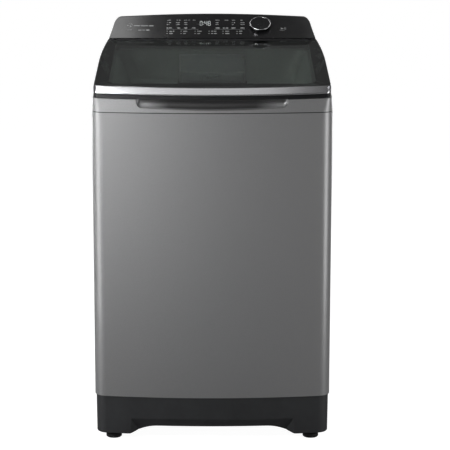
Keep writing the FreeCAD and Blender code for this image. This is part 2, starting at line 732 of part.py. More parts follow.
def build_tub():
    turned("outer_tub", [
        ("48", "Sheet.tub_floor"), ("Sheet.tub_radius - 12", "Sheet.tub_floor"),
        ("Sheet.tub_radius", "Sheet.tub_floor + 12"), ("Sheet.tub_radius", "Sheet.tub_top"),
        ("Sheet.tub_radius - Sheet.tub_wall", "Sheet.tub_top"),
        ("Sheet.tub_radius - Sheet.tub_wall", "Sheet.tub_floor + 14"),
        ("Sheet.tub_radius - 14", "Sheet.tub_floor + Sheet.tub_wall"),
        ("48", "Sheet.tub_floor + Sheet.tub_wall")], ("0", "Sheet.tub_y"))
    turned("tub_cover_ring", [
        ("Sheet.ring_inner", "Sheet.tub_top + 10"), ("Sheet.ring_inner", "Sheet.tub_top + 7"),
        ("Sheet.tub_radius - 8", "Sheet.tub_top + 0.5"),
        ("Sheet.tub_radius + 3", "Sheet.tub_top + 0.5"),
        ("Sheet.tub_radius + 3", "Sheet.tub_top + 5"),
        ("Sheet.tub_radius - 8", "Sheet.tub_top + 5")], ("0", "Sheet.tub_y"))


def build_tub_lugs():
    """Steel arms from the tub wall to the four suspension rods."""
    arms = []
    hub = V(0, size("tub_y"), size("lug_z"))
    reach = math.hypot(size("rod_x"), size("rod_y"))
    inner = size("tub_radius") + 0.2
    for turn in (45, 135, 225, 315):
        arm = Part.makeBox(reach - inner + 20, 40, 8, V(inner, -20, 0))
        gusset = Part.makeBox(6, 40, 70, V(inner, -20, 0))
        arm = arm.fuse(gusset).cut(Part.makeCylinder(size("rod_radius") + 1.5, 40,
                                                     V(reach, 0, -10)))
        arm = arm.cut(Part.makeCylinder(inner, 200, V(0, 0, -50)))
        arm.rotate(V(), V(0, 0, 1), turn)
        arm.translate(hub)
        arms.append(arm)
    feature("suspension_lugs", Part.makeCompound(arms))


def build_basket():
    """Perforated steel drum on a moulded base, closed on top by the balance ring."""
    radius, wall = size("basket_radius"), size("basket_wall")
    low, high = size("basket_floor") + 12, size("basket_top")
    drum = Part.makeCylinder(radius, high - low, V(0, 0, low))
    drum = drum.cut(Part.makeCylinder(radius - wall, high - low + 2, V(0, 0, low - 1)))
    holes = []
    for row in range(7):
        for column in range(20):
            hole = Part.makeCylinder(3, 20, V(radius - 10, 0, 0), V(1, 0, 0))
            hole.rotate(V(), V(0, 0, 1), (column + (row % 2) / 2) * 18 + 4.5)
            hole.translate(V(0, 0, 330 + row * 58))
            holes.append(hole)
    drum = drum.cut(Part.makeCompound(holes))
    feature("wash_basket", drum, FreeCAD.Placement(V(0, size("tub_y"), 0), FreeCAD.Rotation()))
    turned("basket_base", [
        ("17.1", "Sheet.basket_floor"), ("Sheet.basket_radius", "Sheet.basket_floor"),
        ("Sheet.basket_radius", "Sheet.basket_floor + 11.8"),
        ("Sheet.basket_radius - Sheet.basket_wall - 0.2", "Sheet.basket_floor + 12"),
        ("Sheet.basket_radius - Sheet.basket_wall - 0.2", "Sheet.basket_floor + 44"),
        ("Sheet.basket_radius - 8", "Sheet.basket_floor + 44"),
        ("Sheet.pulsator_radius + 12", "Sheet.basket_floor + 22"),
        ("Sheet.pulsator_radius + 8", "Sheet.basket_floor + 8"),
        ("17.1", "Sheet.basket_floor + 8")], ("0", "Sheet.tub_y"))
    turned("balance_ring", [
        ("Sheet.balance_inner", "Sheet.basket_top - 20"),
        ("Sheet.basket_radius - Sheet.basket_wall - 0.2", "Sheet.basket_top - 26"),
        ("Sheet.basket_radius - Sheet.basket_wall - 0.2", "Sheet.basket_top + 0.2"),
        ("Sheet.basket_radius + 3", "Sheet.basket_top + 0.2"),
        ("Sheet.basket_radius + 3", "Sheet.balance_top - 6"),
        ("Sheet.basket_radius - 6", "Sheet.balance_top"),
        ("Sheet.balance_inner + 8", "Sheet.balance_top - 1"),
        ("Sheet.balance_inner", "Sheet.balance_top - 8")], ("0", "Sheet.tub_y"))


def build_lint_filters():
    for name, side in (("left", -1), ("right", 1)):
        inner = size("basket_radius") - size("basket_wall")
        drum = Part.makeCylinder(inner - 0.3, 400, V(0, 0, 300))
        case = Part.makeBox(22, 90, 200, V(inner - 20, -45, 410))
        case = case.common(drum)
        pocket_box = Part.makeBox(14, 70, 150, V(inner - 17, -35, 452))
        frame_edges = [e for e in case.Edges if e.BoundBox.XMax < inner - 19.9]
        case = case.makeFillet(5, frame_edges).cut(pocket_box)
        bars = [Part.makeBox(3, 70.4, 3, V(inner - 20, -35.2, 470 + 22 * n)) for n in range(6)]
        case = case.fuse(bars)
        if side < 0:
            case.rotate(V(), V(0, 0, 1), 180)
        case.translate(V(0, size("tub_y"), 0))
        feature("lint_filter_" + name, case)


def build_pulsator():
    """Shallow dish with six raised vanes, a centre hub and its cap."""
    radius, level = size("pulsator_radius"), size("pulsator_z")
    profile = Part.makePolygon([
        V(10.1, 0, level - 16), V(40, 0, level - 16), V(60, 0, level - 10),
        V(radius - 4, 0, level - 6), V(radius, 0, level + 2), V(radius - 6, 0, level + 2),
        V(110, 0, level + 6), V(52, 0, level + 30), V(30, 0, level + 34),
        V(10.1, 0, level + 34), V(10.1, 0, level - 16)])
    dish = Part.Face(profile).revolve(V(), V(0, 0, 1), 360)
    vane = Part.makePolygon([
        V(40, 0, level), V(radius - 8, 0, level - 2), V(radius - 14, 0, level + 12),
        V(110, 0, level + 30), V(60, 0, level + 42), V(40, 0, level + 40), V(40, 0, level)])
    vane = Part.Face(vane).extrude(V(0, 16, 0))
    vane.translate(V(0, -8, 0))
    vane = vane.makeFillet(5, [e for e in vane.Edges if e.BoundBox.YLength < 0.1
                               and e.BoundBox.ZMin > level + 5])
    vanes = []
    for turn in range(0, 360, 60):
        copy = vane.copy()
        copy.rotate(V(), V(0, 0, 1), turn)
        vanes.append(copy)
    shape = dish.fuse(vanes).cut(Part.makeCylinder(10.1, 400))
    feature("pulsator", shape, FreeCAD.Placement(V(0, size("tub_y"), 0), FreeCAD.Rotation()))
    turned("pulsator_cap", [
        ("0", "Sheet.pulsator_z + 34.2"), ("28", "Sheet.pulsator_z + 34.2"),
        ("27", "Sheet.pulsator_z + 39"), ("18", "Sheet.pulsator_z + 43"),
        ("0", "Sheet.pulsator_z + 44")], ("0", "Sheet.tub_y"))


# ---------------------------------------------------------------- drive

def build_shafts():
    centre = ("0", "Sheet.tub_y")
    turned("drive_shaft", [("0", "76"), ("10", "76"), ("10", "Sheet.pulsator_z + 33.5"),
                           ("0", "Sheet.pulsator_z + 33.5")], centre)
    turned("spin_tube", [("10 + Sheet.fit", "112"), ("17", "112"),
                         ("17", "Sheet.pulsator_z - 18"), ("10 + Sheet.fit",
                                                           "Sheet.pulsator_z - 18")], centre)
    turned("bearing_housing", [
        ("31.1", "116"), ("44", "116"), ("44", "Sheet.tub_floor - 10"),
        ("90", "Sheet.tub_floor - 10"), ("90", "Sheet.tub_floor - 0.2"),
        ("47.8", "Sheet.tub_floor - 0.2"), ("47.8", "Sheet.tub_floor + 4"),
        ("31.1", "Sheet.tub_floor + 4")], centre)
    rings = []
    for low in (122, 176):
        outer = rod("Bearing%d" % low, "31", "15", ("0", "Sheet.tub_y", str(low)))
        bore = rod("BearingBore%d" % low, "17 + Sheet.fit", "17",
                   ("0", "Sheet.tub_y", str(low - 1)))
        ring = DOC.addObject("Part::Cut", "BearingRing%d" % low)
        ring.Base = outer
        ring.Tool = bore
        rings.append(ring)
    group("tub_bearings", rings)
    turned("tub_shaft_seal", [("17 + Sheet.fit", "Sheet.tub_floor - 4"),
                              ("31", "Sheet.tub_floor - 4"), ("31", "Sheet.tub_floor + 6"),
                              ("17 + Sheet.fit", "Sheet.tub_floor + 8")], centre)


def pulley_section(radius, bore, low, thick):
    rim = "%s + %s" % (low, thick)
    return [(bore, low), (radius, low), (radius, low + " + 3"),
            (radius + " - 6", low + " + 6"), (radius + " - 6", rim + " - 6"),
            (radius, rim + " - 3"), (radius, rim), (bore, rim)]


def build_drive():
    turned("drive_pulley", pulley_section("Sheet.pulley_radius", "10.02", "Sheet.pulley_z",
                                          "Sheet.pulley_thick"), ("0", "Sheet.tub_y"))
    motor_at = ("Sheet.motor_x", "Sheet.motor_y")
    turned("motor_pulley", pulley_section("Sheet.motor_pulley", "6.02", "Sheet.pulley_z",
                                          "Sheet.pulley_thick"), motor_at)
    turned("motor_shaft", [("0", "78"), ("6", "78"), ("6", "186"), ("0", "186")], motor_at)
    case = rod("MotorCase", "62", "60", ("Sheet.motor_x", "Sheet.motor_y", "131.5"))
    bore = rod("MotorBore", "6 + Sheet.fit", "60", ("Sheet.motor_x", "Sheet.motor_y", "130"))
    minus("drive_motor", case, bore)
    plate("motor_bracket", [("-150", "-95"), ("238", "-95"), ("238", "120"), ("-150", "79")],
          "126", "5", [("0", "Sheet.tub_y", "46"), ("Sheet.motor_x", "Sheet.motor_y", "26")])
    posts = []
    for index, (x, y) in enumerate(((-130, -75), (222, -75), (222, 98), (-130, 62))):
        posts.append(rod("BracketPost%d" % index, "9", "Sheet.tub_floor - 131.4",
                         (str(x), str(y), "131.2")))
    group("motor_bracket_posts", posts)


def build_belt():
    """Flat loop of belt round the two pulleys, lying in their grooves."""
    big = size("pulley_radius") - 5.6
    small = size("motor_pulley") - 5.6
    gap_x = size("motor_x")
    gap_y = size("motor_y") - size("tub_y")
    span = math.hypot(gap_x, gap_y)

    def loop(extra):
        lean = math.asin((big - small) / span)
        far = V(span, 0, 0)
        out = V(math.sin(lean), math.cos(lean), 0)
        low_out = V(math.sin(lean), -math.cos(lean), 0)
        big_r, small_r = big + extra, small + extra
        return Part.Face(Part.Wire([
            Part.makeLine(out * big_r, far + out * small_r),
            Part.Arc(far + out * small_r, far + V(small_r, 0, 0),
                     far + low_out * small_r).toShape(),
            Part.makeLine(far + low_out * small_r, low_out * big_r),
            Part.Arc(low_out * big_r, V(-big_r, 0, 0), out * big_r).toShape()]))

    ring = loop(4).cut(loop(0)).extrude(V(0, 0, 5))
    ring.rotate(V(), V(0, 0, 1), math.degrees(math.atan2(gap_y, gap_x)))
    ring.translate(V(0, size("tub_y"), size("pulley_z") + size("pulley_thick") / 2 - 2.5))
    feature("drive_belt", ring)


def rod_places():
    return [(x * size("rod_x"), size("tub_y") + y * size("rod_y"))
            for x in (-1, 1) for y in (-1, 1)]


def corner_bracket(x, y):
    """Flat plate across one corner of the cabinet, with a hole for the rod."""
    side_x, side_y = math.copysign(1, x), math.copysign(1, y)
    low = size("bracket_z")
    plate_x = min(x - side_x * 32, x + side_x * 44)
    plate_y = min(y - side_y * 34, y + side_y * 24)
    bracket = Part.makeBox(76, 58, size("bracket_sheet"), V(plate_x, plate_y, low))
    room = solid_between(raised(cabinet_outline(size("sheet") + 0.3), low - 1),
                         raised(cabinet_outline(size("sheet") + 0.3), low + 10))
    hole = Part.makeCylinder(size("rod_head") - 0.5, 20, V(x, y, low - 10))
    return bracket.common(room).cut(hole)


def suspension_rod(x, y):
    """Rod with half a ball at its top and the spring's cup and nut at its foot."""
    foot = size("spring_bottom")
    top = size("rod_top")
    stem = Part.makeCylinder(size("rod_radius"), top - foot + 8, V(x, y, foot - 10))
    cup = Part.makeCylinder(size("rod_cup"), 4, V(x, y, foot - 4.3))
    nut = Part.makeCylinder(9, 6, V(x, y, foot - 10.3))
    ball = Part.makeSphere(size("rod_head"), V(x, y, top))
    head = ball.cut(Part.makeBox(40, 40, 20, V(x - 20, y - 20, top)))
    return stem.fuse([cup, nut, head])


def suspension_seat(x, y):
    """Plastic washer under a rod's head, with a socket for the ball."""
    low = size("bracket_z") + size("bracket_sheet") + 0.3
    washer = Part.makeCylinder(17, 5, V(x, y, low))
    socket = Part.makeSphere(size("rod_head") + 0.2, V(x, y, size("rod_top")))
    return washer.cut(socket).cut(Part.makeCylinder(6, 20, V(x, y, low - 8)))


def suspension_spring(x, y):
    """Coil between the rod's cup and the tub's lug."""
    wire = size("spring_wire")
    length = size("lug_z") - size("spring_bottom") - 2 * wire - 0.8
    helix = Part.makeHelix(length / 6, length, size("spring_radius"))
    ring = Part.Wire(Part.makeCircle(wire, V(size("spring_radius"), 0, 0), V(0, 1, 0.1)))
    coil = Part.Wire(helix).makePipeShell([ring], True, True)
    coil.translate(V(x, y, size("spring_bottom") + wire + 0.2))
    return coil


def build_suspension():
    for label, maker in (("suspension_rods", suspension_rod),
                         ("suspension_seats", suspension_seat),
                         ("suspension_springs", suspension_spring),
                         ("corner_brackets", corner_bracket)):
        feature(label, Part.makeCompound([maker(x, y) for x, y in rod_places()]))


# ---------------------------------------------------------------- water and power

def bent_tube(points, radius, bend):
    """Round tube along straight runs joined by arcs."""
    edges = []
    last = points[0]
    for index in range(1, len(points) - 1):
        here = points[index]
        before = (points[index - 1] - here).normalize()
        after = (points[index + 1] - here).normalize()
        half = before.getAngle(after) / 2
        reach = bend / math.tan(half)
        middle = (before + after).normalize()
        start, end = here + before * reach, here + after * reach
        edges.append(Part.makeLine(last, start))
        edges.append(Part.Arc(start, here + middle * (bend / math.sin(half) - bend),
                              end).toShape())
        last = end
    edges.append(Part.makeLine(last, points[-1]))
    ring = Part.Wire(Part.makeCircle(radius, points[0], points[1] - points[0]))
    return Part.Wire(edges).makePipeShell([ring], True, False)


def build_pump():
    """Drain pump on the plinth's left floor, the sump bellows above it and its hose."""
    x, y, top = size("drain_x"), size("pump_y"), size("pump_top")
    pump = Part.makeCylinder(size("pump_radius"), top - 32, V(x, y, 32))
    socket = Part.makeCylinder(12, 18, V(x, y, top))
    outlet = Part.makeCylinder(9, 26, V(x, y + 28, 60), V(0, 1, 0))
    ledge = Part.makeBox(70, 50, 9, V(x - 97, y - 25, size("base_bottom") + 4.8))
    feature("drain_pump", pump.fuse([socket, outlet, ledge]))
    fold_high, wide, narrow = 17.6, 20.5, 16
    folds = []
    for fold in range(6):
        low = top + 4.2 + fold * fold_high
        middle = low + fold_high / 2
        folds += [(wide, low), (wide, middle), (narrow, middle), (narrow, low + fold_high)]
    outer = [V(r, 0, z) for r, z in folds]
    inner = [V(12.6, 0, folds[-1][1]), V(12.6, 0, folds[0][1])]
    bellows = Part.Face(Part.makePolygon(outer + inner + outer[:1]))
    bellows = bellows.revolve(V(), V(0, 0, 1), 360)
    bellows.translate(V(x, y, 0))
    feature("sump_hose", bellows)
    bend_y, end_z = y + 112, size("drain_z")
    hose = bent_tube([V(x, y + 54.2, 60), V(x, bend_y, 60), V(x, bend_y, end_z),
                      V(x, size("rear_reach") - 25.2, end_z)], 11, 11.2)
    feature("drain_hose", hose)


def through_rear(name, radius, length, x, start, z):
    """Round piece that points out of the rear, from sheet expressions."""
    return rod(name, radius, length, (x, start, z), V(0, 1, 0))


def build_outlet():
    x, z = "Sheet.drain_x", "Sheet.drain_z"
    pipe = through_rear("OutletPipe", "Sheet.spigot_radius", "42", x, "286", z)
    flange = through_rear("OutletFlange", "19", "3", x, "Sheet.rear_reach + 1.8", z)
    bore = through_rear("OutletBore", "9", "60", x, "280", z)
    minus("drain_outlet", fused("OutletOuter", [pipe, flange]), bore)


def build_valves():
    z = "Sheet.valve_z"
    for name in ("cold", "hot"):
        x = "Sheet.%s_x" % name
        spout = through_rear("Spout" + name, "Sheet.spout_radius", "40", x, "288", z)
        coil = block("Coil" + name, (x + " - 16", "256", z + " - 14"), ("32", "33", "44"))
        collar = through_rear("Collar" + name, "22", "3", x, "Sheet.rear_reach + 1.8", z)
        mouth = through_rear("Mouth" + name, "9", "30", x, "300", z)
        minus("inlet_valve_" + name, fused("Valve" + name, [spout, coil, collar]), mouth)


def build_gland():
    x, z = "Sheet.cord_x", "Sheet.cord_z"
    bush = through_rear("GlandBush", "9.2", "16", x, "Sheet.rear_reach - 6", z)
    head = through_rear("GlandHead", "13", "5", x, "Sheet.rear_reach + 3.9", z)
    bore = through_rear("GlandBore", "Sheet.gland_bore", "40", x, "290", z)
    minus("cord_gland", fused("GlandOuter", [bush, head]), bore)


def build_screws():
    screws = []
    for x in (-275, 275):
        for z in (150, 400, 620, 840):
            name = "Screw%s%d" % ("L" if x < 0 else "R", z)
            screws.append(rod(name, "5", "2.4", (str(x), "Sheet.rear_reach + 1.6", str(z)),
                              V(0, 1, 0)))
    group("rear_panel_screws", screws)


def check_and_write():
    DOC.recompute()
    for item in DOC.Objects:
        if "Invalid" in item.State or "Error" in item.State:
            raise RuntimeError("%s did not rebuild: %s" % (item.Label, item.State))
    os.makedirs("parts", exist_ok=True)
    bad = [item.Label for item in NODES if item.Shape.isNull() or not item.Shape.isValid()
           or item.Shape.Volume <= 0]
    if bad:
        raise RuntimeError("no valid solid: " + ", ".join(bad))
    for item in NODES:
        item.Shape.exportStep("parts/%s.step" % item.Label)
    print(len(NODES), "nodes written")


fill_sheet()
build_cabinet()
build_rear_panel()
build_base()
build_feet()
build_top_cover()
build_console()
build_control_board()
build_knob()
build_lid()
build_hinges()
build_lid_buffers()
build_dispenser()
build_tub()
build_tub_lugs()
build_basket()
build_lint_filters()
build_pulsator()
build_shafts()
build_drive()
build_belt()
build_suspension()
build_pump()
build_outlet()
build_valves()
build_gland()
build_screws()
check_and_write()
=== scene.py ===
import json
import math

import bmesh
import bpy
from mathutils import Matrix, Vector


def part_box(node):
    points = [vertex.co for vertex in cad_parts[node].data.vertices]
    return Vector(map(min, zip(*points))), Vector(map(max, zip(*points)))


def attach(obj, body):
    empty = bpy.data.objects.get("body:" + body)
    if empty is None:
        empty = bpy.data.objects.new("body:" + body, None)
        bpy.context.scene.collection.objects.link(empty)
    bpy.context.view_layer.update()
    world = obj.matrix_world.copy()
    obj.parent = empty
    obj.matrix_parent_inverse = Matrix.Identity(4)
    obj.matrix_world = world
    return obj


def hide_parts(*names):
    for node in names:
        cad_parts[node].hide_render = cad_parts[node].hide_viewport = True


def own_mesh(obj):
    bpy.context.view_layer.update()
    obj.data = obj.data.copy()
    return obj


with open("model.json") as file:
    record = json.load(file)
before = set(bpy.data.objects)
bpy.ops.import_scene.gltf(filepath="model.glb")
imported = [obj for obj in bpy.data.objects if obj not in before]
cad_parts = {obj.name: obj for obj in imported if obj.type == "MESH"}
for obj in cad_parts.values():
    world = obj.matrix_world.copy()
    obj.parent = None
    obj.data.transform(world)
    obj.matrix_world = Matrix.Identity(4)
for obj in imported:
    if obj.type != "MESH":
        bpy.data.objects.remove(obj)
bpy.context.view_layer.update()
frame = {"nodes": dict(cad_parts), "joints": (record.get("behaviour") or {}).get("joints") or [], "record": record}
NODES = frame["nodes"]

# Camera: fitted to the machine's outline, in metres and degrees.
CAMERA_AT = (0.0, -5.0403, 1.5428)
CAMERA_PITCH = 11.568
CAMERA_LENS = 152.0
CAMERA_SHIFT_X = 0.0283

# The knob turns about the console's normal, on the console's sloped face.
KNOB_JOINT = next(joint for joint in frame["joints"] if joint["name"] == "knob_turn")
KNOB_AT = Vector(KNOB_JOINT["pos_m"])
CONSOLE_SLOPE = math.atan2(-KNOB_JOINT["axis"][1], KNOB_JOINT["axis"][2])

# The lid's plane: its front edge at the middle, and its rise towards the rear.
LID_ORIGIN = Vector((0.0, -0.318, 0.926))
LID_SLOPE = math.radians(7.8)
LID_HALF = 0.2985
LID_CORNER = 0.014
BOW_RADIUS = 1.716
BOW_HALF = 0.270
MM = 0.001

# Zones of the top cover's material: its well, lined with dull plastic, and the seam below it and the hand grip in
# front, which get painted shade; the grip's lower edge rises by GRIP_BOW times the square of the distance from the
# middle.
WELL_HALF = 0.280
WELL_FRONT = -0.276
SEAM_TOP = 0.8628
GRIP_EDGE = 0.867
GRIP_TOP = 0.903
GRIP_BACK = -0.250
GRIP_BOW = 0.217
GRIP_DARK_HALF = 0.110
GRIP_HALF = 0.165
FLOOR_HALF = 60.0


# ------------------------------------------------------------------ node helpers

class Shader:
    """A material built of nodes around one Principled shader."""

    def __init__(self, name, color, metallic=0.0, roughness=0.5, **sockets):
        self.material = bpy.data.materials.new(name)
        self.material.use_nodes = True
        self.tree = self.material.node_tree
        self.main = self.tree.nodes["Principled BSDF"]
        self.main.inputs["Base Color"].default_value = (*color, 1.0)
        self.main.inputs["Metallic"].default_value = metallic
        self.main.inputs["Roughness"].default_value = roughness
        for key, value in sockets.items():
            self.main.inputs[key.replace("_", " ")].default_value = value

    def node(self, kind, **settings):
        item = self.tree.nodes.new(kind)
        for key, value in settings.items():
            setattr(item, key, value)
        return item

    def link(self, source, target):
        self.tree.links.new(source, target)

    def position(self, scale=(1.0, 1.0, 1.0)):
        """Place on the part in metres, stretched along the axes."""
        coordinate = self.node("ShaderNodeTexCoord")
        mapping = self.node("ShaderNodeMapping")
        mapping.inputs["Scale"].default_value = scale
        self.link(coordinate.outputs["Object"], mapping.inputs["Vector"])
        return mapping.outputs["Vector"]

    def noise(self, scale, detail=4.0, rough=0.5, stretch=(1.0, 1.0, 1.0)):
        item = self.node("ShaderNodeTexNoise")
        item.inputs["Scale"].default_value = scale
        item.inputs["Detail"].default_value = detail
        item.inputs["Roughness"].default_value = rough
        self.link(self.position(stretch), item.inputs["Vector"])
        return item.outputs["Fac"]

    def cells(self, scale, stretch=(1.0, 1.0, 1.0)):
        item = self.node("ShaderNodeTexVoronoi")
        item.inputs["Scale"].default_value = scale
        self.link(self.position(stretch), item.inputs["Vector"])
        return item.outputs["Distance"]

    def ramp(self, source, low, high, to_low, to_high):
        item = self.node("ShaderNodeMapRange")
        for key, value in (("From Min", low), ("From Max", high),
                           ("To Min", to_low), ("To Max", to_high)):
            item.inputs[key].default_value = value
        self.link(source, item.inputs["Value"])
        return item.outputs["Result"]

    def blend(self, factor, first, second):
        item = self.node("ShaderNodeMix", data_type="RGBA")
        item.inputs[6].default_value = (*first, 1.0)
        item.inputs[7].default_value = (*second, 1.0)
        self.link(factor, item.inputs[0])
        return item.outputs[2]

    def layer(self, factor, under, over):
        """Lays one plain colour over a source, as much as the factor says."""
        item = self.node("ShaderNodeMix", data_type="RGBA")
        item.inputs[7].default_value = (*over, 1.0)
        self.link(under, item.inputs[6])
        self.link(factor, item.inputs[0])
        return item.outputs[2]

    def math(self, operation, first, second=None):
        """One source worked with another source or with a plain number."""
        item = self.node("ShaderNodeMath", operation=operation)
        self.link(first, item.inputs[0])
        if isinstance(second, float):
            item.inputs[1].default_value = second
        elif second is not None:
            self.link(second, item.inputs[1])
        return item.outputs[0]

    def roughness(self, source, low, high):
        self.link(self.ramp(source, 0.3, 0.7, low, high), self.main.inputs["Roughness"])

    def bump(self, source, depth, before=None):
        """Adds relief; depth is in metres."""
        item = self.node("ShaderNodeBump")
        item.inputs["Strength"].default_value = 1.0
        item.inputs["Distance"].default_value = depth
        self.link(source, item.inputs["Height"])
        if before is not None:
            self.link(before, item.inputs["Normal"])
        self.link(item.outputs["Normal"], self.main.inputs["Normal"])
        return item.outputs["Normal"]

    def color(self, source):
        self.link(source, self.main.inputs["Base Color"])


def painted(name, color, dark, light):
    """Metallic paint: fine flakes, a faint orange peel and slow changes of gloss."""
    shader = Shader(name, color, metallic=0.5, roughness=0.4, Coat_Weight=0.2,
                    Coat_Roughness=0.15)
    flakes = shader.noise(2600.0, detail=2.0)
    shader.color(shader.blend(shader.ramp(flakes, 0.35, 0.65, 0.0, 1.0), dark, light))
    shader.roughness(shader.noise(60.0, detail=5.0), 0.39, 0.42)
    shader.bump(shader.noise(420.0, detail=1.0), 0.00001)
    return shader


def grip_shade(shader, split, aside):
    """Painted shade of the hand grip's recess: dark low in its middle, fading upwards and to both sides."""
    rise = shader.math("MULTIPLY", shader.math("MULTIPLY", aside, aside), -GRIP_BOW)
    height = shader.math("ADD", split.outputs["Z"], rise)
    across = shader.ramp(aside, GRIP_DARK_HALF, GRIP_HALF, 1.0, 0.0)
    start = shader.ramp(height, GRIP_EDGE + 2.0 * MM, GRIP_EDGE + 4.5 * MM, 0.0, 1.0)
    fade = shader.ramp(height, GRIP_EDGE + 7.0 * MM, GRIP_EDGE + 29.0 * MM, 0.88, 0.35)
    below = shader.ramp(height, GRIP_TOP - MM, GRIP_TOP + MM, 1.0, 0.0)
    front = shader.ramp(split.outputs["Y"], GRIP_BACK - 10.0 * MM, GRIP_BACK, 1.0, 0.0)
    shade = shader.math("MULTIPLY", across, shader.math("MULTIPLY", start, fade))
    return shader.math("MULTIPLY", shade, shader.math("MULTIPLY", below, front))


def well_lined_and_shaded(shader, color):
    """The cover's well is dull plastic; its seam and the hand grip's middle get painted shade, a near-black colour
    laid over the paint.
    """
    split = shader.node("ShaderNodeSeparateXYZ")
    shader.link(shader.position(), split.inputs["Vector"])
    aside = shader.math("ABSOLUTE", split.outputs["X"])
    between = shader.ramp(aside, WELL_HALF - MM, WELL_HALF + MM, 1.0, 0.0)
    behind = shader.ramp(split.outputs["Y"], WELL_FRONT - MM, WELL_FRONT + MM, 0.0, 1.0)
    inside = shader.math("MULTIPLY", between, behind)
    paint = shader.main.inputs["Base Color"].links[0].from_socket
    lined = shader.layer(inside, paint, color)
    # painted shade: the cover's lip below SEAM_TOP is coloured near black, standing for the shadow in the gap at
    # the seam
    seam_shade = shader.ramp(split.outputs["Z"], SEAM_TOP - 0.1 * MM, SEAM_TOP + 0.1 * MM, 1.0, 0.0)
    shade = shader.math("MAXIMUM", grip_shade(shader, split, aside), seam_shade)
    # painted shade: near black laid over the grip's recess and the seam gap, as much as the masks say
    shader.color(shader.layer(shade, lined, (0.008, 0.008, 0.008)))
    shader.link(shader.ramp(inside, 0.0, 1.0, 0.5, 0.0), shader.main.inputs["Metallic"])
    shader.link(shader.ramp(inside, 0.0, 1.0, 0.4, 0.6), shader.main.inputs["Roughness"])
    return shader


def grained_plastic(name, color, roughness, grain=1400.0, depth=0.00004, spread=0.15, gloss=0.5):
    """Moulded plastic with an eroded grain and a slight unevenness of tone."""
    shader = Shader(name, color, roughness=roughness, Specular_IOR_Level=gloss)
    tone = shader.noise(14.0, detail=6.0)
    dark = tuple(c * (1.0 - spread) for c in color)
    light = tuple(min(c * (1.0 + spread), 1.0) for c in color)
    shader.color(shader.blend(shader.ramp(tone, 0.3, 0.7, 0.0, 1.0), dark, light))
    shader.roughness(shader.noise(60.0), roughness - 0.06, roughness + 0.08)
    shader.bump(shader.cells(grain), depth)
    return shader.material


def gloss_black(name, color, roughness=0.22):
    """Polished black panel with faint smudges in its gloss."""
    shader = Shader(name, color, roughness=roughness, Coat_Weight=0.3, Coat_Roughness=0.18)
    smudge = shader.noise(22.0, detail=8.0, rough=0.62)
    shader.roughness(smudge, roughness * 0.9, roughness * 1.3)
    dust = shader.noise(900.0, detail=1.0)
    light = tuple(c * 1.8 + 0.002 for c in color)
    shader.color(shader.blend(shader.ramp(dust, 0.55, 0.8, 0.0, 0.6), color, light))
    shader.bump(shader.noise(30.0, detail=1.0), 0.00003)
    return shader.material


def plated(name, color, roughness=0.12):
    """Bright plating with hairline polish marks."""
    shader = Shader(name, color, metallic=1.0, roughness=roughness)
    marks = shader.noise(160.0, detail=3.0, stretch=(0.05, 1.0, 6.0))
    shader.roughness(marks, roughness * 0.92, roughness * 1.1)
    tone = shader.noise(30.0)
    shader.color(shader.blend(tone, tuple(c * 0.94 for c in color), color))
    shader.bump(marks, 0.0000006)
    return shader.material


def brushed(name, color, roughness=0.3, stretch=(1.0, 1.0, 30.0), depth=0.000012):
    """Steel with a directional brushed grain."""
    shader = Shader(name, color, metallic=1.0, roughness=roughness)
    grain = shader.noise(70.0, detail=6.0, rough=0.7, stretch=stretch)
    shader.roughness(grain, roughness - 0.08, roughness + 0.1)
    dark = tuple(c * 0.86 for c in color)
    shader.color(shader.blend(shader.ramp(grain, 0.35, 0.65, 0.0, 1.0), dark, color))
    shader.bump(grain, depth)
    return shader.material


def spangled_zinc(name, color):
    """Galvanised sheet: large crystals of slightly different tone."""
    shader = Shader(name, color, metallic=0.9, roughness=0.42)
    cells = shader.node("ShaderNodeTexVoronoi")
    cells.inputs["Scale"].default_value = 90.0
    shader.link(shader.position(), cells.inputs["Vector"])
    tone = shader.ramp(cells.outputs["Color"], 0.0, 1.0, 0.0, 1.0)
    shader.color(shader.blend(tone, tuple(c * 0.78 for c in color), color))
    shader.roughness(cells.outputs["Distance"], 0.34, 0.52)
    shader.bump(shader.noise(240.0), 0.00001)
    return shader.material


def rubber(name, color):
    shader = Shader(name, color, roughness=0.75)
    dust = shader.noise(45.0, detail=7.0)
    light = tuple(c + 0.02 for c in color)
    shader.color(shader.blend(shader.ramp(dust, 0.45, 0.75, 0.0, 1.0), color, light))
    shader.roughness(dust, 0.66, 0.85)
    shader.bump(shader.noise(700.0, detail=2.0), 0.00005)
    return shader.material


def tinted_glass(name):
    """Dark see-through glass, faintly green, with smudges."""
    shader = Shader(name, (0.70, 0.79, 0.74), roughness=0.015, IOR=1.36,
                    Transmission_Weight=1.0)
    smudge = shader.noise(16.0, detail=6.0)
    shader.roughness(smudge, 0.01, 0.03)
    shader.bump(shader.noise(7.0, detail=1.0), 0.00002)
    return shader.material


def glow(name, color, strength):
    shader = Shader(name, color, roughness=0.4)
    shader.main.inputs["Emission Color"].default_value = (*color, 1.0)
    shader.main.inputs["Emission Strength"].default_value = strength
    shade = shader.noise(500.0, detail=1.0)
    shader.color(shader.blend(shade, tuple(c * 0.8 for c in color), color))
    return shader.material


